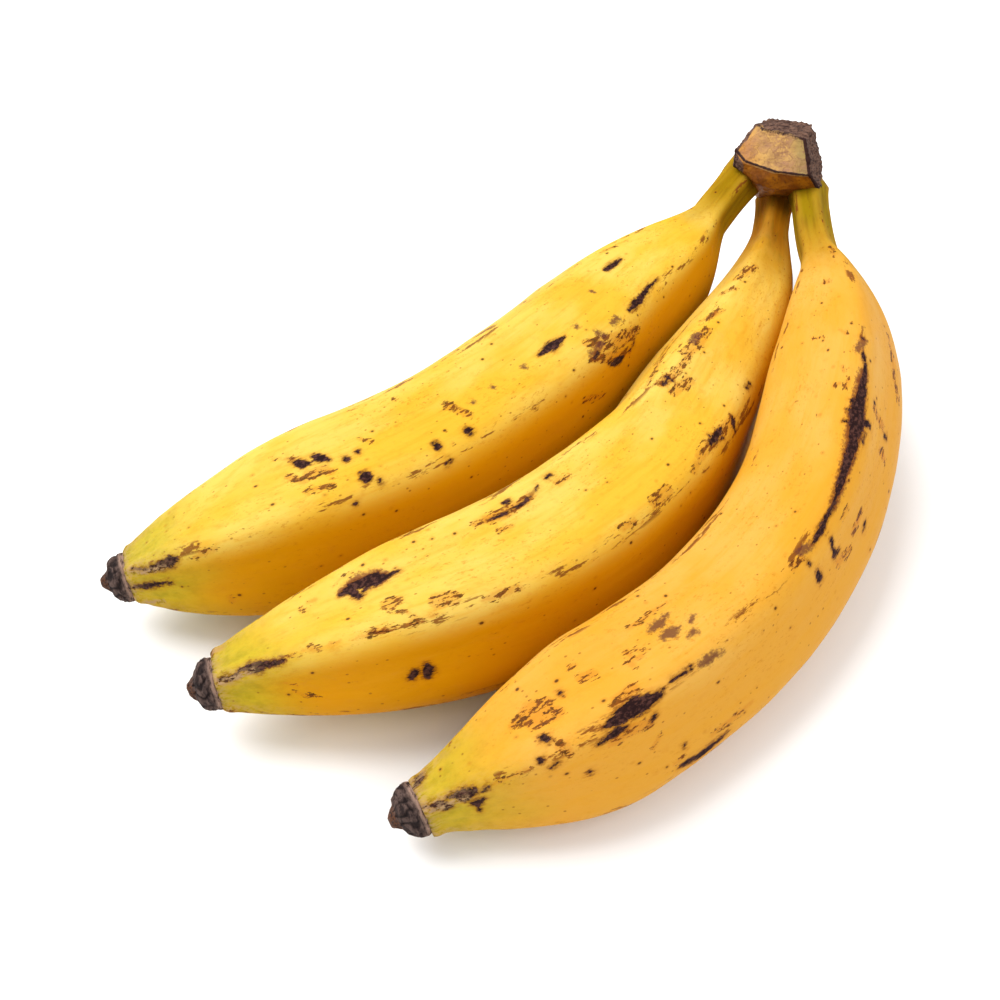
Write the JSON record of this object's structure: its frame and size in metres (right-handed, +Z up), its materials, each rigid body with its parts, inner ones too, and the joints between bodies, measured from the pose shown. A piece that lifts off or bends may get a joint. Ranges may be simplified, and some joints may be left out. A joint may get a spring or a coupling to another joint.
{
  "type": "plantain hand",
  "caption": "Curved ridged ripe yellow plantains joined at a short cut woody crown, lying flat on a surface, with dark bruises and dried flower ends.",
  "frame": {"origin": "on the table, under the middle of the hand's bounding box", "axes": "+Z up from the table, +Y from the flower ends towards the crown, +X towards the outside of the bend"},
  "size_m": [0.2276, 0.271, 0.059],
  "materials": {
    "skin": "satin",
    "flower_scar": "rough, dried",
    "crown": "rough, cut and dried"
  },
  "bodies": {
    "root": {"plantain_left": "skin", "plantain_middle": "skin", "plantain_right": "skin", "flower_scar_left": "flower_scar", "flower_scar_middle": "flower_scar", "flower_scar_right": "flower_scar", "crown": "crown"}
  },
  "joints": []
}
